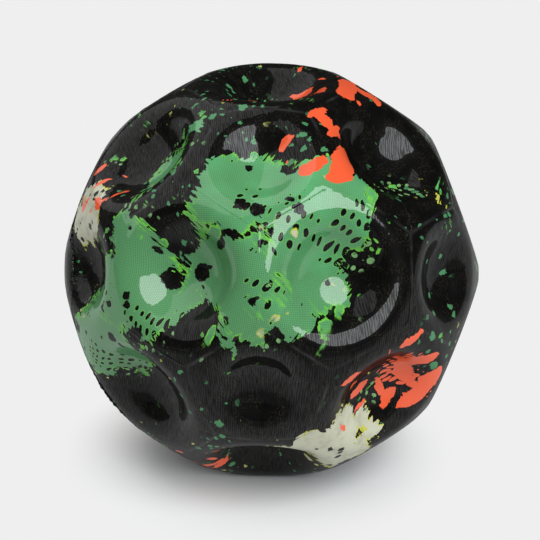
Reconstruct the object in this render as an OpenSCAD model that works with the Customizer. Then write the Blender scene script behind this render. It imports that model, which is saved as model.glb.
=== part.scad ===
// High-bounce foam ball with thirty-two moulded craters.
// A cast foam core carries a thin printed film in two halves, which butt on the parting plane.
// The ball lies on the rim of one wide crater: +Z is up, -Y is the front, the origin is its centre.

/* [Ball] */
// Diameter of the sphere that the ridge tops lie on
ball_d = 65; // [60:0.5:72]

/* [Craters] */
// Depth of a wide crater, measured from that sphere to the bottom of the bowl
wide_depth = 5.85; // [4.8:0.05:6.4]
// Depth of a narrow crater, measured in the same way
narrow_depth = 3.65; // [3:0.05:4.2]
// Radius of the rounded ridges between the craters
ridge_r = 4.7; // [4.2:0.05:5.2]
// Height that the sphere takes off the round tops of the ridges
ridge_trim = 0.05; // [0.03:0.01:0.08]

/* [Skin] */
// Thickness of the printed film
film_t = 0.3; // [0.2:0.05:0.5]

/* [Hidden] */
$fn = 96;

ball_r = ball_d / 2;

// Crater axes: the narrow ones point to the corners of an icosahedron, the wide ones to its faces
golden = (1 + sqrt(5)) / 2;
both = [-1, 1];
narrow_axes = [
    for (a = both, b = both)
        each [[0, a, b * golden], [a, b * golden, 0], [b * golden, 0, a]]
];
wide_axes = concat(
    [for (a = both, b = both, c = both) [a, b, c]],
    [
        for (a = both, b = both)
            each [[a / golden, 0, b * golden], [b * golden, a / golden, 0], [0, b * golden, a / golden]]
    ]
);

// Half the cell that each crater fills, as an angle at the ball's centre: neighbours share a ridge top
wide_rim = angle_between([1 / golden, 0, golden], [-1 / golden, 0, golden]) / 2;
narrow_rim = angle_between([0, 1, golden], [1 / golden, 0, golden]) - wide_rim;

// The mould opens along a wide crater's axis, and the ball lies with another one facing straight up
mould_axis = [1 / golden, 0, golden];
lie_tilt = atan2(golden, 1 / golden);

// How far cutting shapes stand out past the surfaces that they cut
overcut = 3;

function angle_between(a, b) = acos(a * b / (norm(a) * norm(b)));

// Point in a crater's half section, by its angle from the crater's axis and its distance from the centre
function polar(angle, r) = r * [sin(angle), cos(angle)];

function ridge_centre_r() = ball_r - ridge_r + ridge_trim;

// Radius of the bowl that runs smoothly into the round ridge at the crater's rim
function bowl_radius(rim, depth) =
    let (ridge = polar(rim, ridge_centre_r()), rise = ball_r - depth - ridge.y)
    (ridge.x ^ 2 + rise ^ 2 - ridge_r ^ 2) / (2 * (ridge_r - rise));

// Angle from a ridge's top to where its round flank dips under the sphere, at a depth under the surface
function flank_angle(inset) =
    let (c = ridge_centre_r(), r = ball_r - inset, flank_r = ridge_r - inset)
    acos((r ^ 2 + c ^ 2 - flank_r ^ 2) / (2 * r * c));

// Does a crater reach the half of the ball on this side of the parting plane? Side 0 is the whole ball
function reaches(axis, rim, side) =
    side == 0 || side * axis * mould_axis > -sin(rim) * norm(axis) * norm(mould_axis);

module aim(axis) {
    rotate([0, acos(axis.z / norm(axis)), atan2(axis.y, axis.x)])
        children();
}

// Half section of what is cut out for a crater: the bowl, then all that is over it and the round ridge
module crater_section(rim, depth, inset) {
    ridge = polar(rim, ridge_centre_r());
    bowl_r = bowl_radius(rim, depth);
    bowl = [0, ball_r - depth + bowl_r];
    meet = bowl + (ridge - bowl) * (bowl_r + inset) / (bowl_r + ridge_r);
    intersection() {
        translate(bowl)
            circle(r = bowl_r + inset);
        polygon([bowl, bowl - [0, 2 * bowl_r], bowl + 2 * (ridge - bowl)]);
    }
    difference() {
        polygon([
            bowl - [0, bowl_r / 2],
            meet,
            ridge,
            polar(rim - flank_angle(inset) / 2, ball_r + overcut),
            [0, ball_r + overcut]
        ]);
        translate(ridge)
            circle(r = ridge_r - inset);
    }
}

module crater(rim, depth, inset) {
    rotate_extrude()
        crater_section(rim, depth, inset);
}

// The ball's form at a depth under its surface, whole or one half with some stock past the parting plane
module ball_form(inset, side = 0, stock = 0) {
    difference() {
        aim(mould_axis)
            sphere(r = ball_r - inset);
        for (axis = wide_axes)
            if (reaches(axis, wide_rim, side))
                aim(axis)
                    crater(wide_rim, wide_depth, inset);
        for (axis = narrow_axes)
            if (reaches(axis, narrow_rim, side))
                aim(axis)
                    crater(narrow_rim, narrow_depth, inset);
        if (side != 0)
            aim(-side * mould_axis)
                translate([-ball_d, -ball_d, stock])
                    cube(2 * ball_d);
    }
}

module as_it_lies() {
    rotate([lie_tilt, 0, 0])
        children();
}

// Film formed into one half of the mould, of even thickness, trimmed flush at the parting plane
module half_skin(side) {
    as_it_lies()
        difference() {
            ball_form(0, side);
            ball_form(film_t, side, overcut);
        }
}

module foam_core() {
    color("dimgray")
        as_it_lies()
            ball_form(film_t);
}

module front_skin() {
    color("mediumseagreen")
        half_skin(1);
}

module rear_skin() {
    color("darkslategray")
        half_skin(-1);
}

foam_core();
front_skin();
rear_skin();
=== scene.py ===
# A high-bounce ball with thirty-two craters: a foam core inside two printed film halves.
# It lies on the rim of one crater. Metres throughout, +Z up, the photographed side towards -Y.
import math

import bmesh
import bpy
import numpy as np
from mathutils import Matrix, Vector


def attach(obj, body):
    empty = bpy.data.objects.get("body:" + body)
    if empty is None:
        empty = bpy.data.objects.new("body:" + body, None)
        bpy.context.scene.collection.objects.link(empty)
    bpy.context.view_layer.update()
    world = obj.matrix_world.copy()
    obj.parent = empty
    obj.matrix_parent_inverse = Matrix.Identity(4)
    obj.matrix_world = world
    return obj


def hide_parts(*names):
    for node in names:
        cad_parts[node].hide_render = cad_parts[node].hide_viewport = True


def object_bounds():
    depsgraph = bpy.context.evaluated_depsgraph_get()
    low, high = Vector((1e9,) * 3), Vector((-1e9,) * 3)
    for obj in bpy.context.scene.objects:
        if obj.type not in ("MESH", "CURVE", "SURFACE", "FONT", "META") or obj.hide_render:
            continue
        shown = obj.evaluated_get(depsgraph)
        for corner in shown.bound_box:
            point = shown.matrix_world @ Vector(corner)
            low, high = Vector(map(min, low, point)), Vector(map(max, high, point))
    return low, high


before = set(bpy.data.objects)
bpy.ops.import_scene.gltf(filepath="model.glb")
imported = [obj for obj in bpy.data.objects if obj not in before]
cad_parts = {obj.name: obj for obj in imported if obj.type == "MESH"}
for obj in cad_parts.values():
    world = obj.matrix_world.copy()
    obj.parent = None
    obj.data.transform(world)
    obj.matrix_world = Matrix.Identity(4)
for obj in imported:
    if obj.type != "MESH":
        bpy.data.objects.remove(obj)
cad_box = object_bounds()

# Foam core: one ball of dense cast polyurethane foam, which gives the bounce.
# The mould gives it its craters: twelve narrow ones on the corners of an icosahedron, twenty wide
# ones on its faces, with round ridges between. The film is bonded to it all over, so none of it shows.
BALL_R = 0.0325
WIDE_DEPTH = 0.00585
NARROW_DEPTH = 0.00365
RIDGE_R = 0.0047
RIDGE_TRIM = 0.00005
FILM_T = 0.0003
CORE_STEPS = 7
CORE_GREY = (0.055, 0.055, 0.058, 1)
CORE_PALE = (0.11, 0.108, 0.105, 1)
FOAM_CELL = 0.0006

GOLDEN = (1 + math.sqrt(5)) / 2
LIE = np.array(Matrix.Rotation(math.atan2(GOLDEN, 1 / GOLDEN), 3, "X"))
MOULD_AXIS = LIE @ np.array([1 / GOLDEN, 0, GOLDEN]) / math.sqrt(3)


def unit_rows(rows):
    rows = np.array(rows, float)
    return rows / np.linalg.norm(rows, axis=1, keepdims=True)


def turns(corner):
    """A corner's axes with every choice of signs, turned round the three coordinates."""
    x, y, z = corner
    signs = [(a, b) for a in (-1, 1) for b in (-1, 1)]
    return [p for a, b in signs for p in ((x, a * y, b * z), (a * y, b * z, x), (b * z, x, a * y))]


narrow_axes = unit_rows(turns((0, 1, GOLDEN)))
cube_axes = [(a, b, c) for a in (-1, 1) for b in (-1, 1) for c in (-1, 1)]
wide_axes = unit_rows(turns((0, GOLDEN, 1 / GOLDEN)) + cube_axes)
wide_rim = math.acos(np.sort(wide_axes @ wide_axes[0])[-2]) / 2
narrow_rim = math.acos((wide_axes @ narrow_axes[0]).max()) - wide_rim
CRATERS = [(wide_axes @ LIE.T, wide_rim, WIDE_DEPTH), (narrow_axes @ LIE.T, narrow_rim, NARROW_DEPTH)]


def crater_profile(rim, depth, inset):
    """Angle from the crater's axis and distance from the ball's centre, along the bowl and the ridge."""
    ridge_out = BALL_R - RIDGE_R + RIDGE_TRIM
    ridge_x, ridge_y = ridge_out * math.sin(rim), ridge_out * math.cos(rim)
    rise = BALL_R - depth - ridge_y
    bowl_r = (ridge_x ** 2 + rise ** 2 - RIDGE_R ** 2) / (2 * (RIDGE_R - rise))
    bowl_y = BALL_R - depth + bowl_r
    wall = math.atan2(ridge_x, bowl_y - ridge_y)
    sweep = np.linspace(0, wall, 200)
    turn = np.linspace(-wall, rim, 200)[1:]
    x = np.append((bowl_r + inset) * np.sin(sweep), ridge_x + (RIDGE_R - inset) * np.sin(turn))
    y = np.append(bowl_y - (bowl_r + inset) * np.cos(sweep), ridge_y + (RIDGE_R - inset) * np.cos(turn))
    return np.arctan2(x, y), np.hypot(x, y)


def ball_radius(direction, inset):
    radius = np.full(len(direction), BALL_R - inset)
    for axes, rim, depth in CRATERS:
        angle = np.arccos(np.clip((direction @ axes.T).max(1), -1, 1))
        radius = np.minimum(radius, np.interp(angle, *crater_profile(rim, depth, inset)))
    return radius


def geodesic(steps):
    """Points and triangles of a unit sphere with a corner on +Z and a ring of edges on its equator."""
    mesh = bpy.data.meshes.new("geodesic")
    form = bmesh.new()
    bmesh.ops.create_icosphere(form, subdivisions=steps, radius=1)
    form.to_mesh(mesh)
    form.free()
    points = np.empty(len(mesh.vertices) * 3)
    mesh.vertices.foreach_get("co", points)
    corners = np.empty(len(mesh.loops), int)
    mesh.loops.foreach_get("vertex_index", corners)
    bpy.data.meshes.remove(mesh)
    return unit_rows(points.reshape(-1, 3)), corners.reshape(-1, 3)


def smooth_piece(name, points, triangles):
    mesh = bpy.data.meshes.new(name)
    mesh.from_pydata(points.tolist(), [], triangles.tolist())
    mesh.shade_smooth()
    piece = bpy.data.objects.new(name, mesh)
    bpy.context.scene.collection.objects.link(piece)
    return piece


def place(tree, kind, inputs, **settings):
    """One node with its settings, and its inputs set to values or linked to sockets."""
    made = tree.nodes.new(kind)
    for key, value in settings.items():
        setattr(made, key, value)
    for key, value in inputs.items():
        if isinstance(value, bpy.types.NodeSocket):
            tree.links.new(value, made.inputs[key])
        else:
            made.inputs[key].default_value = value
    return made


def new_material(name, **constants):
    material = bpy.data.materials.new(name)
    material.use_nodes = True
    shader = material.node_tree.nodes["Principled BSDF"]
    for key, value in constants.items():
        shader.inputs[key.replace("_", " ")].default_value = value
    return material, material.node_tree, shader


core_points, core_triangles = geodesic(CORE_STEPS)
core_surface = core_points * ball_radius(core_points, FILM_T)[:, None]
foam_core = smooth_piece("foam_core_body", core_surface, core_triangles)

foam, tree, shader = new_material("cast_foam", Roughness=0.85)
own_place = place(tree, "ShaderNodeTexCoord", {}).outputs["Object"]
cells = place(tree, "ShaderNodeTexVoronoi", {"Vector": own_place, "Scale": 1 / FOAM_CELL})
greys = {0: cells.outputs["Distance"], 6: CORE_GREY, 7: CORE_PALE}
shade = place(tree, "ShaderNodeMix", greys, data_type="RGBA")
pits = place(tree, "ShaderNodeBump", {"Height": cells.outputs["Distance"], "Distance": FOAM_CELL / 3})
tree.links.new(shade.outputs[2], shader.inputs["Base Color"])
tree.links.new(pits.outputs["Normal"], shader.inputs["Normal"])
foam_core.data.materials.append(foam)
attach(foam_core, "root")
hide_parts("foam_core")

# Front film half: a cup of thin glossy film, printed flat, then drawn into the front half of the mould
# before the foam is cast in it, and bonded to the foam. It butts on the rear half on the parting plane,
# where it keeps a thin trimmed lip.
FILM_STEPS = 7
LINING_STEPS = 6
LIP_SPLITS = 4
LIP_T = 0.00012
LIP_LOW = 0.00004
LIP_WAVE = 0.000012
LIP_WAVES = (3, 7, 11, 19, 31, 53)
LIP_RAG = 0.0002
LIP_RAGS = (71, 113, 173, 251)
RAG_SPREAD = 0.13
UV_REACH = 0.46
UV_LIP = (0.47, 0.48)
UV_LINING = 0.06


def half_ball(steps):
    """The +Z half of the geodesic sphere: points, triangles, and its rim in order of azimuth."""
    points, triangles = geodesic(steps)
    kept = triangles[(points[triangles][:, :, 2] > -1e-6).all(1)]
    used = np.unique(kept)
    number = np.full(len(points), -1)
    number[used] = np.arange(len(used))
    points = points[used]
    rim = np.flatnonzero(np.abs(points[:, 2]) < 1e-6)
    quarter_step = math.pi / len(rim) / 2
    azimuth = np.mod(np.arctan2(points[rim, 1], points[rim, 0]) + quarter_step, 2 * math.pi)
    return points, number[kept], rim[np.argsort(azimuth)]


def zip_rings(coarse, fine):
    """Triangles between two closed rings, where each coarse point has a whole number of fine ones."""
    share = len(fine) // len(coarse)
    made = []
    for i, here in enumerate(coarse):
        there = coarse[(i + 1) % len(coarse)]
        run = [fine[(i * share + k) % len(fine)] for k in range(share + 1)]
        middle = share // 2
        made += [(here, run[k], run[k + 1]) for k in range(middle)]
        made += [(here, run[middle], there)]
        made += [(there, run[k], run[k + 1]) for k in range(middle, share)]
    return made


def lip_height(azimuth, seed, ragged):
    """Height of the trimmed lip round the parting line: a low edge with a few ragged stretches."""
    draw = np.random.default_rng(seed)
    wave = sum(np.sin(n * azimuth + draw.uniform(0, 2 * math.pi)) / math.sqrt(n) for n in LIP_WAVES)
    rag = sum(np.sin(n * azimuth + draw.uniform(0, 2 * math.pi)) for n in LIP_RAGS) / len(LIP_RAGS)
    away = [np.mod(azimuth - math.radians(a) + math.pi, 2 * math.pi) - math.pi for a in ragged]
    where = sum(np.exp(-(a / RAG_SPREAD) ** 2) for a in away)
    return LIP_LOW + LIP_WAVE * wave.clip(-1, 2) + np.clip(where, 0, 1) * (LIP_RAG + LIP_RAG * rag)


def crest_gap(direction):
    """Millimetres across the nearest ridge top, where the sign changes on the top itself."""
    past = np.concatenate(
        [np.arccos(np.clip(direction @ axes.T, -1, 1)) - rim for axes, rim, depth in CRATERS], 1
    )
    nearest = np.argpartition(past, 2, axis=1)[:, :2]
    nearest.sort(axis=1)
    pair = np.take_along_axis(past, nearest, 1)
    return 500 * BALL_R * (pair[:, 1] - pair[:, 0])


def film_half(name, side, seed, ragged):
    pole = side * MOULD_AXIS
    up = np.array([0, 0, 1]) - pole * pole[2]
    up /= np.linalg.norm(up)
    turned = np.array([np.cross(up, pole), up, pole])
    outer, outer_triangles, outer_rim = half_ball(FILM_STEPS)
    lining, lining_triangles, lining_rim = half_ball(LINING_STEPS)
    count = len(outer_rim) * LIP_SPLITS
    start = math.atan2(outer[outer_rim[0], 1], outer[outer_rim[0], 0])
    azimuth = start + np.arange(count) * 2 * math.pi / count
    ring = np.stack([np.cos(azimuth), np.sin(azimuth), np.zeros(count)], 1)
    reach = ball_radius(ring @ turned, 0)
    lip = lip_height(azimuth, seed, ragged)
    shell = outer * ball_radius(outer @ turned, 0)[:, None]
    shell[outer_rim, 2] = LIP_T
    tip = ring * (reach + lip)[:, None] + [0, 0, LIP_T / 2]
    back = ring * (reach + lip * 0.8)[:, None]
    inner = lining * ball_radius(lining @ turned, FILM_T)[:, None]
    first = np.cumsum([0, len(outer), count, count])
    tips, backs = first[1] + np.arange(count), first[2] + np.arange(count)
    following = np.roll(np.arange(count), -1)
    triangles = np.concatenate([
        outer_triangles,
        zip_rings(outer_rim, tips),
        np.stack([tips, backs, backs[following]], 1),
        np.stack([tips, backs[following], tips[following]], 1),
        zip_rings(first[3] + lining_rim, backs),
        first[3] + lining_triangles[:, ::-1],
    ])
    local = np.concatenate([shell, tip, back, inner])
    piece = smooth_piece(name, local @ turned, triangles)
    form = bmesh.new()
    form.from_mesh(piece.data)
    bmesh.ops.recalc_face_normals(form, faces=form.faces)
    form.to_mesh(piece.data)
    form.free()
    piece.data.set_sharp_from_angle(angle=math.radians(50))

    way = unit_rows(local)
    spread = 2000 * BALL_R / (1 + way[:, 2:])
    film_place = np.append(way[:, :2] * spread, np.zeros((len(way), 1)), 1)
    piece.data.attributes.new("film", "FLOAT_VECTOR", "POINT").data.foreach_set("vector", film_place.ravel())
    piece.data.attributes.new("seam_gap", "FLOAT", "POINT").data.foreach_set("value", 1000 * local[:, 2])
    crest = crest_gap(way @ turned)
    piece.data.attributes.new("crest_gap", "FLOAT", "POINT").data.foreach_set("value", crest)

    from_pole = np.arccos(np.clip(way[:, 2], -1, 1)) / (math.pi / 2)
    reach = from_pole * UV_REACH
    reach[tips], reach[backs] = UV_LIP
    middle = np.full((len(local), 2), 0.5)
    reach[first[3]:] *= 0.1
    middle[first[3]:] = UV_LINING
    heading = way[:, :2] / np.linalg.norm(way[:, :2], axis=1, keepdims=True).clip(1e-9)
    flat = middle + heading * reach[:, None]
    corners = np.empty(len(piece.data.loops), int)
    piece.data.loops.foreach_get("vertex_index", corners)
    piece.data.uv_layers.new(name="OFBake").uv.foreach_set("vector", flat[corners].ravel())
    return piece


def maths(tree, operation, *values):
    return place(tree, "ShaderNodeMath", dict(enumerate(values)), operation=operation).outputs[0]


def times(tree, *values):
    product = values[0]
    for value in values[1:]:
        product = maths(tree, "MULTIPLY", product, value)
    return product


def rise(tree, value, low, high):
    """Goes smoothly from 0 at low to 1 at high."""
    sockets = {0: value, 1: low, 2: high, 3: 0.0, 4: 1.0}
    return place(tree, "ShaderNodeMapRange", sockets, interpolation_type="SMOOTHSTEP").outputs[0]


def over(tree, mask, colour, under):
    return place(tree, "ShaderNodeMix", {0: mask, 6: under, 7: colour}, data_type="RGBA").outputs[2]


def noise(tree, film, per_mm, detail=2.0, output=0):
    sockets = {"Vector": film, "Scale": per_mm, "Detail": detail}
    return place(tree, "ShaderNodeTexNoise", sockets, noise_dimensions="2D").outputs[output]


def moved_by(tree, film, shift, amount=1.0):
    scaled = place(tree, "ShaderNodeVectorMath", {0: shift, "Scale": amount}, operation="SCALE").outputs[0]
    return place(tree, "ShaderNodeVectorMath", {0: film, 1: scaled}, operation="ADD").outputs[0]


def swayed(tree, film, per_mm, reach):
    """The film's coordinates pushed about by up to half the reach, in millimetres."""
    push = noise(tree, film, per_mm, 2.0, 1)
    halves = {0: push, 1: (0.5, 0.5, 0.5)}
    centred = place(tree, "ShaderNodeVectorMath", halves, operation="SUBTRACT").outputs[0]
    return moved_by(tree, film, centred, reach)


def stretched(tree, film, angle, length, width):
    """Coordinates in which a mark one unit across comes out so long, along the angle, and so wide."""
    sockets = {"Vector": film, "Rotation": (0, 0, math.radians(angle)), "Scale": (length, width, 1)}
    return place(tree, "ShaderNodeMapping", sockets, vector_type="TEXTURE").outputs[0]


def new_group(name, inputs, outputs):
    kinds = {"vector": "NodeSocketVector", "value": "NodeSocketFloat", "colour": "NodeSocketColor"}
    group = bpy.data.node_groups.new(name, "ShaderNodeTree")
    for key, kind in inputs.items():
        group.interface.new_socket(key, in_out="INPUT", socket_type=kinds[kind])
    for key, kind in outputs.items():
        group.interface.new_socket(key, in_out="OUTPUT", socket_type=kinds[kind])
    return group, group.nodes.new("NodeGroupInput").outputs, group.nodes.new("NodeGroupOutput").inputs


def from_group(tree, group, inputs):
    """A group placed in a tree with its own values: its outputs."""
    made = tree.nodes.new("ShaderNodeGroup")
    made.node_tree = group
    for key, value in inputs.items():
        if isinstance(value, bpy.types.NodeSocket):
            tree.links.new(value, made.inputs[key])
        else:
            made.inputs[key].default_value = value
    return made.outputs


# Splashed patch: a field that is above zero inside a patch of ink with torn, brushed edges.
torn_patch, given, put = new_group(
    "torn_patch",
    {"Film": "vector", "Shift": "vector", "Size": "value", "Tear": "value", "Zone": "value"},
    {"Field": "value"},
)
moved = moved_by(torn_patch, given["Film"], given["Shift"])
per_mm = maths(torn_patch, "DIVIDE", 1.0, given["Size"])
broad = noise(torn_patch, swayed(torn_patch, moved, 0.22, 5.0), per_mm, 4.0)
combed = [noise(torn_patch, stretched(torn_patch, moved, angle, 3.6, 0.55), 1.0, 2.0) for angle in (128, 40)]
which = rise(torn_patch, noise(torn_patch, moved, 0.07, 1.0), 0.45, 0.55)
brush = place(torn_patch, "ShaderNodeMix", {0: which, 2: combed[0], 3: combed[1]}).outputs[0]
torn = maths(torn_patch, "MULTIPLY_ADD", maths(torn_patch, "SUBTRACT", brush, 0.5), given["Tear"], broad)
field = maths(torn_patch, "ADD", maths(torn_patch, "SUBTRACT", torn, 0.5), given["Zone"])
torn_patch.links.new(field, put["Field"])

# Drops: round and drawn-out splashes, one to a cell, with a share of the cells left empty.
ink_drops, given, put = new_group(
    "ink_drops",
    {"Film": "vector", "Shift": "vector", "Cell": "value", "Fill": "value", "Ragged": "value"},
    {"Gap": "value"},
)
moved = moved_by(ink_drops, given["Film"], given["Shift"])
per_mm = maths(ink_drops, "DIVIDE", 1.0, given["Cell"])
finer = maths(ink_drops, "MULTIPLY", given["Ragged"], 0.4)
ragged = swayed(ink_drops, swayed(ink_drops, moved, 0.6, given["Ragged"]), 2.2, finer)
spread = {"Vector": ragged, "Scale": per_mm, "Randomness": 0.9}
cell = place(ink_drops, "ShaderNodeTexVoronoi", spread, voronoi_dimensions="2D")
draw = place(ink_drops, "ShaderNodeSeparateColor", {0: cell.outputs["Color"]}).outputs[0]
size = maths(ink_drops, "SUBTRACT", draw, maths(ink_drops, "SUBTRACT", 1.0, given["Fill"]))
reach = maths(ink_drops, "MULTIPLY", maths(ink_drops, "DIVIDE", size, given["Fill"]), 0.36)
gap = maths(ink_drops, "SUBTRACT", cell.outputs["Distance"], maths(ink_drops, "MAXIMUM", reach, -1.0))
ink_drops.links.new(gap, put["Gap"])

# Dot rows: the distance from the nearest dot of a coarse screen, in pitches, with rows that wander a little.
dot_rows, given, put = new_group("dot_rows", {"Film": "vector", "Pitch": "value"}, {"Away": "value"})
per_mm = maths(dot_rows, "DIVIDE", 1.0, given["Pitch"])
wandering = stretched(dot_rows, swayed(dot_rows, given["Film"], 0.1, 5.0), 62, 1.3, 0.9)
spread = {"Vector": wandering, "Scale": per_mm, "Randomness": 0.26}
dots = place(dot_rows, "ShaderNodeTexVoronoi", spread, voronoi_dimensions="2D")
dot_rows.links.new(dots.outputs["Distance"], put["Away"])

# Fine screen: the printing press's own dot screen, finer than a needle's point.
fine_screen, given, put = new_group("fine_screen", {"Film": "vector", "Pitch": "value"}, {"Screen": "value"})
per_mm = maths(fine_screen, "DIVIDE", 2 * math.pi, given["Pitch"])
turned_film = stretched(fine_screen, given["Film"], 30, 1, 1)
across = place(fine_screen, "ShaderNodeSeparateXYZ", {0: turned_film}).outputs
sides = [maths(fine_screen, "SINE", maths(fine_screen, "MULTIPLY", across[i], per_mm)) for i in (0, 1)]
fine_screen.links.new(maths(fine_screen, "MULTIPLY", *sides), put["Screen"])


def torn_field(tree, film, shift, size, tear, zone):
    values = {"Film": film, "Shift": shift, "Size": size, "Tear": tear, "Zone": zone}
    return from_group(tree, torn_patch, values)["Field"]


def drops(tree, film, shift, cell, fill, ragged=1.2):
    values = {"Film": film, "Shift": shift, "Cell": cell, "Fill": fill, "Ragged": ragged}
    return from_group(tree, ink_drops, values)["Gap"]


def ink(red, green, blue):
    """An ink's colour, from the 0 to 255 scale of a colour chart."""
    level = [v / 255 for v in (red, green, blue)]
    return tuple(v / 12.92 if v <= 0.04045 else ((v + 0.055) / 1.055) ** 2.4 for v in level) + (1,)


BLACK_INK = ink(9, 9, 8)
BROWN_INK = ink(36, 33, 26)
DEEP_GREEN = ink(74, 136, 90)
BRIGHT_GREEN = ink(84, 192, 124)
SCREEN_GREEN = ink(122, 168, 110)
LIME_INK = ink(112, 194, 72)
CREAM_INK = ink(196, 197, 172)
CREAM_SHADE = ink(172, 171, 148)
YELLOW_INK = ink(196, 196, 60)
ORANGE_INK = ink(240, 94, 54)
# Grey of a painted sheen along the ridge tops, standing in for their grazing reflection.
CREST_SHEEN_GREY = ink(118, 117, 118)

splashed_print, given, put = new_group(
    "splashed_print",
    {"Film": "vector", "Shift": "vector", "Green": "value", "Cream": "value", "Orange": "value"},
    {"Ink": "colour", "Colour cover": "value"},
)
tree = splashed_print
film = moved_by(tree, given["Film"], given["Shift"])
grain = noise(tree, film, 3.2, 1.0)
mottle = noise(tree, film, 0.35, 3.0)
brown = times(tree, rise(tree, grain, 0.5, 0.68), rise(tree, mottle, 0.4, 0.65))
ground = over(tree, brown, BROWN_INK, BLACK_INK)

# Green: torn patches whose ink drifts from deep to bright, with a lime edge in places and dotted areas.
green = torn_field(tree, film, (31, 7, 0), 13.0, 0.24, given["Green"])
in_green = rise(tree, green, -0.002, 0.002)
out_of_green = rise(tree, green, 0.0, -0.01)
drift = place(
    tree, "ShaderNodeVectorMath", {0: given["Film"], 1: (0.012, 0.012, 0)}, operation="DOT_PRODUCT"
).outputs["Value"]
tone = maths(tree, "MULTIPLY_ADD", noise(tree, film, 0.13, 2.0), 0.7, drift)
screen = from_group(tree, fine_screen, {"Film": film, "Pitch": 0.42})["Screen"]
green_ink = over(tree, rise(tree, tone, 0.1, 1.1), BRIGHT_GREEN, DEEP_GREEN)
green_ink = over(tree, times(tree, rise(tree, screen, -0.1, 0.5), 0.6), SCREEN_GREEN, green_ink)
fringe = rise(tree, noise(tree, film, 0.17, 1.0), 0.42, 0.64)
warm_edge = times(tree, rise(tree, green, 0.06, 0.0), fringe, 0.55)
green_ink = over(tree, warm_edge, LIME_INK, green_ink)
lime_edge = rise(tree, maths(tree, "MULTIPLY_ADD", fringe, 0.026, green), -0.002, 0.002)
colour = over(tree, lime_edge, LIME_INK, ground)
colour = over(tree, in_green, green_ink, colour)

dotted = rise(tree, noise(tree, moved_by(tree, film, (43, -26, 0)), 0.07, 1.0), 0.5, 0.6)
dot_away = from_group(tree, dot_rows, {"Film": film, "Pitch": 1.75})["Away"]
dot_reach = times(tree, dotted, maths(tree, "MULTIPLY_ADD", rise(tree, green, 0.1, 0.0), 0.14, 0.26))
dot_gap = maths(tree, "SUBTRACT", dot_away, dot_reach)
bare_dot = times(tree, rise(tree, dot_gap, 0.02, -0.02), rise(tree, dotted, 0.1, 0.3))
dot_halo = times(tree, rise(tree, dot_gap, 0.12, 0.06), rise(tree, dotted, 0.1, 0.3), in_green, 0.35)
spots = [
    rise(tree, drops(tree, film, shift, cell_mm, fill), 0.01, -0.01)
    for cell_mm, fill, shift in ((2.6, 0.14, (5, 60, 0)), (6.5, 0.3, (48, 12, 0)))
]
holes = times(tree, maths(tree, "MAXIMUM", bare_dot, maths(tree, "MAXIMUM", *spots)), in_green)
colour = over(tree, dot_halo, LIME_INK, colour)
colour = over(tree, holes, ground, colour)

near_green = times(tree, rise(tree, green, -0.2, -0.1), out_of_green)
stray_dot = times(tree, rise(tree, dot_away, 0.24, 0.2), rise(tree, dotted, 0.2, 0.6), near_green)
colour = over(tree, stray_dot, SCREEN_GREEN, colour)
long_film = stretched(tree, film, 52, 2.4, 0.8)
splashes = (
    (film, 5.2, 0.3, (17, 3, 0)),
    (film, 2.4, 0.2, (2, 44, 0)),
    (long_film, 3.0, 0.25, (70, 28, 0)),
)
for splash, cell_mm, fill, shift in splashes:
    drop_gap = drops(tree, splash, shift, cell_mm, fill)
    colour = over(tree, times(tree, rise(tree, drop_gap, 0.01, -0.01), near_green), LIME_INK, colour)
    colour = over(tree, times(tree, rise(tree, drop_gap, -0.05, -0.08), near_green), green_ink, colour)

# Specks: fine green spatter that reaches over the bare black, thicker in some places.
thick = noise(tree, moved_by(tree, film, (19, 66, 0)), 0.06, 1.0)
spatter = times(tree, rise(tree, thick, 0.49, 0.64), out_of_green)
for cell_mm, fill, shift in ((1.5, 0.2, (88, 14, 0)), (2.9, 0.16, (6, 71, 0))):
    speck_gap = drops(tree, film, shift, cell_mm, fill)
    colour = over(tree, times(tree, rise(tree, speck_gap, 0.01, -0.01), spatter), DEEP_GREEN, colour)

# Cream: smeared patches with black blots and a yellow edge in places.
cream = torn_field(tree, film, (83, 40, 0), 11.0, 0.2, given["Cream"])
blot_gap = drops(tree, film, (37, 22, 0), 2.5, 0.36)
in_cream = times(tree, rise(tree, cream, -0.002, 0.002), rise(tree, blot_gap, 0.0, 0.02))
cream_ink = over(tree, rise(tree, mottle, 0.4, 0.8), CREAM_SHADE, CREAM_INK)
yellow_edge = rise(tree, maths(tree, "MULTIPLY_ADD", fringe, 0.03, cream), -0.002, 0.002)
colour = over(tree, yellow_edge, YELLOW_INK, colour)
colour = over(tree, rise(tree, cream, -0.002, 0.002), ground, colour)
colour = over(tree, in_cream, cream_ink, colour)
near_cream = times(tree, rise(tree, cream, -0.22, -0.1), rise(tree, cream, 0.0, -0.02))
drip_gap = drops(tree, film, (12, 93, 0), 2.2, 0.3)
colour = over(tree, times(tree, rise(tree, drip_gap, 0.01, -0.01), near_cream), YELLOW_INK, colour)
colour = over(tree, times(tree, rise(tree, drip_gap, -0.06, -0.1), near_cream), cream_ink, colour)

# Orange: long strokes thrown over the rest, and areas of loose dots.
in_zone = rise(tree, given["Orange"], -0.27, -0.08)
out_of_zone = times(tree, maths(tree, "SUBTRACT", 1.0, in_zone), 0.5)
rough_film = swayed(tree, swayed(tree, film, 0.3, 2.0), 1.6, 0.6)
in_orange = 0.0
strokes = ((52, 3.2, 7.0, (15, 36, 0)), (118, 3.2, 5.0, (57, 80, 0)), (28, 3.0, 3.6, (44, 18, 0)))
for angle, length, cell_mm, shift in strokes:
    drawn_out = stretched(tree, rough_film, angle, length, 1)
    stroke_gap = drops(tree, drawn_out, shift, cell_mm, 0.55, 0.35)
    stroke = rise(tree, maths(tree, "ADD", stroke_gap, out_of_zone), 0.008, -0.008)
    in_orange = maths(tree, "MAXIMUM", stroke, in_orange)
loose = noise(tree, moved_by(tree, film, (8, 51, 0)), 0.06, 1.0)
mesh_area = times(tree, rise(tree, loose, 0.64, 0.7), in_zone)
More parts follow.
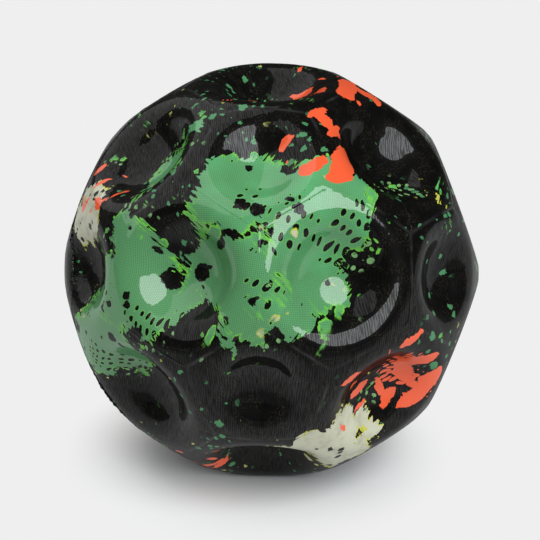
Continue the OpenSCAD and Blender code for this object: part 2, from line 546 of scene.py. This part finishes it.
mesh_away = from_group(tree, dot_rows, {"Film": film, "Pitch": 1.15})["Away"]
mesh_dot = rise(tree, maths(tree, "SUBTRACT", mesh_away, times(tree, mesh_area, 0.4)), 0.02, -0.02)
in_orange = maths(tree, "MAXIMUM", in_orange, times(tree, mesh_dot, rise(tree, mesh_area, 0.1, 0.3)))
colour = over(tree, in_orange, ORANGE_INK, colour)
tree.links.new(colour, put["Ink"])
whole_green = maths(tree, "SUBTRACT", in_green, holes)
cover = maths(tree, "MAXIMUM", whole_green, maths(tree, "MAXIMUM", in_cream, in_orange))
tree.links.new(cover, put["Colour cover"])

# Drawn film: fine lines and streaks along the way the film was drawn, the slight waviness of its gloss,
# puckers at the parting line, a crease along some of the ridge tops and a pale sheen painted on them
# in place of their grazing reflection.
drawn_film, given, put = new_group(
    "drawn_film",
    {"Film": "vector", "Seam gap": "value", "Crest gap": "value"},
    {"Streak": "value", "Height": "value", "Crest sheen": "value"},
)
tree = drawn_film
along = stretched(tree, swayed(tree, given["Film"], 0.6, 0.25), 86, 2.2, 0.16)
lines = maths(tree, "SINE", times(tree, place(tree, "ShaderNodeSeparateXYZ", {0: along}).outputs["Y"], 2.7))
streak = maths(tree, "MULTIPLY_ADD", lines, 0.1, noise(tree, along, 1.0, 2.0))
wave = noise(tree, given["Film"], 0.33, 2.0)
pucker = times(tree, noise(tree, given["Film"], 0.9, 3.0), rise(tree, given["Seam gap"], 3.0, 0.2), 1.4)
some = rise(tree, noise(tree, given["Film"], 0.09, 1.0), 0.48, 0.58)
off_crest = maths(tree, "ABSOLUTE", given["Crest gap"])
crease = times(tree, rise(tree, off_crest, 0.28, 0.02), some, 0.9)
# Painted sheen: patches of a pale band along the ridge tops, in place of their grazing reflection.
sheen_patches = rise(tree, noise(tree, given["Film"], 0.16, 3.0), 0.36, 0.66)
crest_sheen = times(tree, rise(tree, off_crest, 0.4, 0.0), sheen_patches)
height = maths(tree, "ADD", wave, maths(tree, "ADD", pucker, crease))
tree.links.new(streak, put["Streak"])
tree.links.new(height, put["Height"])
tree.links.new(crest_sheen, put["Crest sheen"])


def zone_of(tree, film, blobs, inside, outside):
    """A broad leaning of the print: how likely a patch of one ink is, from a few soft round zones."""
    near = 0.0
    for x, y, reach in blobs:
        ends = {0: film, 1: (x, y, 0)}
        away = place(tree, "ShaderNodeVectorMath", ends, operation="DISTANCE").outputs["Value"]
        near = maths(tree, "MAXIMUM", rise(tree, away, reach * 1.25, reach * 0.6), near)
    return maths(tree, "MULTIPLY_ADD", near, inside - outside, outside)


# The painted sheen on the ridge tops lightens the bare black by up to this share.
CREST_SHEEN_SHARE = 0.14
GLOSS_LOW = 0.18
GLOSS_RANGE = 0.46
STEEP_LOSS = 0.85
BUMP_DEPTH = 0.00012
BUMP_STRENGTH = 0.35


def printed_film(name, shift, green, cream, orange):
    material, tree, shader = new_material(
        name, Specular_IOR_Level=0.04, Coat_Roughness=0.035, Coat_IOR=1.5
    )
    across = place(tree, "ShaderNodeAttribute", {}, attribute_name="film").outputs["Vector"]
    seam_gap = place(tree, "ShaderNodeAttribute", {}, attribute_name="seam_gap").outputs["Fac"]
    crest = place(tree, "ShaderNodeAttribute", {}, attribute_name="crest_gap").outputs["Fac"]
    film = swayed(tree, across, 0.05, 4.0)
    zones = {
        "Green": zone_of(tree, film, green, 0.12, -0.32),
        "Cream": zone_of(tree, film, cream, 0.1, -0.34),
        "Orange": zone_of(tree, film, orange, 0.04, -0.3),
    }
    printed = from_group(tree, splashed_print, {"Film": across, "Shift": shift} | zones)
    drawn = from_group(tree, drawn_film, {"Film": across, "Seam gap": seam_gap, "Crest gap": crest})
    on_black = maths(tree, "MULTIPLY_ADD", printed["Colour cover"], -0.8, 1.0)
    # Painted highlight: the ridge tops turn towards pale grey on the bare black, in place of their grazing
    # reflection.
    painted_sheen = times(tree, drawn["Crest sheen"], on_black, CREST_SHEEN_SHARE)
    tree.links.new(over(tree, painted_sheen, CREST_SHEEN_GREY, printed["Ink"]), shader.inputs["Base Color"])
    gloss = maths(tree, "MULTIPLY_ADD", rise(tree, drawn["Streak"], 0.36, 0.64), GLOSS_RANGE, GLOSS_LOW)
    facing = place(tree, "ShaderNodeLayerWeight", {"Blend": 0.5}).outputs["Facing"]
    steep = maths(tree, "MULTIPLY_ADD", maths(tree, "POWER", facing, 2.0), -STEEP_LOSS, 1.0)
    glossy = times(tree, maths(tree, "MAXIMUM", gloss, printed["Colour cover"]), steep)
    tree.links.new(glossy, shader.inputs["Coat Weight"])
    tree.links.new(maths(tree, "MULTIPLY_ADD", drawn["Streak"], 0.3, 0.25), shader.inputs["Roughness"])
    relief = {"Height": drawn["Height"], "Distance": BUMP_DEPTH, "Strength": BUMP_STRENGTH}
    bump = place(tree, "ShaderNodeBump", relief)
    tree.links.new(bump.outputs["Normal"], shader.inputs["Normal"])
    tree.links.new(bump.outputs["Normal"], shader.inputs["Coat Normal"])
    return material


front = film_half("front_skin_film", 1, 11, ragged=(49, 169, 236, 305))
front.data.materials.append(printed_film(
    "front_film", (0, 0, 0),
    green=[(-10, 7, 19), (-34, 4, 15), (-50, -11, 15), (-26, 30, 10)],
    cream=[(0, -37, 14), (-52, 23, 10)],
    orange=[(10, -20, 13), (4, 22, 9), (-28, -46, 10), (17, 44, 14), (-6, 43, 9), (-47, 30, 10)],
))
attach(front, "root")
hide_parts("front_skin")

# Rear film half: the same kind of cup from the rear half of the mould, cut from another place of the
# printed sheet, so its splashes lie differently. Its lip meets the front one's on the parting plane.
rear = film_half("rear_skin_film", -1, 23, ragged=(15, 150, 331))
rear.data.materials.append(printed_film(
    "rear_film", (210, 90, 0),
    green=[(10, -6, 20), (-26, 18, 15), (30, 34, 14), (-30, -34, 12)],
    cream=[(-8, 38, 12), (34, -18, 12), (-48, -6, 10)],
    orange=[(-16, -18, 12), (24, 14, 10), (4, -46, 14), (46, 8, 10)],
))
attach(rear, "root")
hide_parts("rear_skin")

# Stage: a wide white sheet that shines evenly away from the ball and holds its shadow close by. Towards
# the front it is grey in what the ball mirrors. A round softbox stands to the right of the camera, and a
# large dim panel on the left.
FLOOR_Z = cad_box[0].z
FLOOR_HALF = 4.0
PAPER_SHINE = 0.863
SHADOW_AT = (-0.003, -0.003, 0)
SHADOW_NEAR = 0.015
SHADOW_FAR = 0.033
MIRROR_SHARE = 0.35
FRONT_NEAR = -0.036
FRONT_FAR = -0.1
FRONT_GREY = (0.2, 0.2, 0.2, 1)
PAPER_WHITE = (0.85, 0.85, 0.85, 1)

floor_mesh = bpy.data.meshes.new("floor")
sheet_corners = [(x * FLOOR_HALF, y * FLOOR_HALF, 0) for x, y in ((-1, -1), (1, -1), (1, 1), (-1, 1))]
floor_mesh.from_pydata(sheet_corners, [], [(0, 1, 2, 3)])
floor = bpy.data.objects.new("floor", floor_mesh)
floor.location.z = FLOOR_Z
bpy.context.scene.collection.objects.link(floor)
paper, tree, shader = new_material("paper", Roughness=1.0, Specular_IOR_Level=0.0)
on_floor = place(tree, "ShaderNodeTexCoord", {}).outputs["Object"]
away = place(tree, "ShaderNodeVectorMath", {0: on_floor, 1: SHADOW_AT}, operation="DISTANCE").outputs["Value"]
depth_on_floor = place(tree, "ShaderNodeSeparateXYZ", {0: on_floor}).outputs["Y"]
sheet_back = rise(tree, depth_on_floor, FRONT_FAR, FRONT_NEAR)
tree.links.new(over(tree, sheet_back, PAPER_WHITE, FRONT_GREY), shader.inputs["Base Color"])
path = place(tree, "ShaderNodeLightPath", {}).outputs
mirrored = maths(tree, "MAXIMUM", path["Is Glossy Ray"], path["Is Transmission Ray"])
seen = maths(tree, "MAXIMUM", path["Is Camera Ray"], times(tree, mirrored, sheet_back, MIRROR_SHARE))
shine = place(tree, "ShaderNodeEmission", {"Color": (1, 1, 1, 1), "Strength": PAPER_SHINE}).outputs[0]
clear = times(tree, seen, rise(tree, away, SHADOW_NEAR, SHADOW_FAR))
sheet = place(tree, "ShaderNodeMixShader", {0: clear, 1: shader.outputs[0], 2: shine}).outputs[0]
tree.links.new(sheet, tree.nodes["Material Output"].inputs["Surface"])
floor_mesh.materials.append(paper)


def lamp(name, azimuth, elevation, distance, width, height, shape, radiance, colour):
    """An area lamp seen from the ball at an azimuth from the camera's side, positive to the right."""
    a, e = math.radians(azimuth), math.radians(elevation)
    out = Vector((math.sin(a) * math.cos(e), -math.cos(a) * math.cos(e), math.sin(e)))
    data = bpy.data.lights.new(name, "AREA")
    data.shape = shape
    data.size, data.size_y = width, height
    area = width * height * (math.pi / 4 if shape in ("DISK", "ELLIPSE") else 1)
    data.energy = radiance * area * math.pi
    data.color = colour
    made = bpy.data.objects.new(name, data)
    made.location = out * distance
    made.rotation_euler = out.to_track_quat("Z", "Y").to_euler()
    bpy.context.scene.collection.objects.link(made)
    return made


lamp("softbox", 37, 40, 1.3, 1.15, 1.15, "DISK", 6.0, (0.95, 0.98, 1.0))
lamp("side_panel", -97, 52, 1.0, 1.8, 1.35, "RECTANGLE", 1.15, (1, 1, 1))

world = bpy.data.worlds.new("studio")
bpy.context.scene.world = world
world.use_nodes = True
world.node_tree.nodes["Background"].inputs["Color"].default_value = (0.05, 0.05, 0.05, 1)

# Camera: at the photograph's angle, about nine ball radii from the ball's centre.
CAMERA_OUT = 9 * BALL_R
BALL_PX = 205.9
PICTURE_PX = 540
BALL_AT_PX = (271.6, 270.05)
LOOK_TURN = (1.9, -3.4, -0.86)

turn = Vector(math.radians(x) for x in LOOK_TURN)
to_camera = np.array(Matrix.Rotation(turn.length, 3, turn))
axes = Matrix((LIE @ to_camera.T).tolist()).to_4x4()
eye = bpy.data.cameras.new("camera")
eye.sensor_width = 36
eye.lens = BALL_PX * CAMERA_OUT / BALL_R / PICTURE_PX * eye.sensor_width
eye.shift_x = (PICTURE_PX / 2 - BALL_AT_PX[0]) / PICTURE_PX
eye.shift_y = (BALL_AT_PX[1] - PICTURE_PX / 2) / PICTURE_PX
camera = bpy.data.objects.new("camera", eye)
camera.matrix_world = axes @ Matrix.Translation((0, 0, CAMERA_OUT))
bpy.context.scene.collection.objects.link(camera)
bpy.context.scene.camera = camera
bpy.context.scene.view_settings.view_transform = "Standard"

bpy.context.view_layer.update()
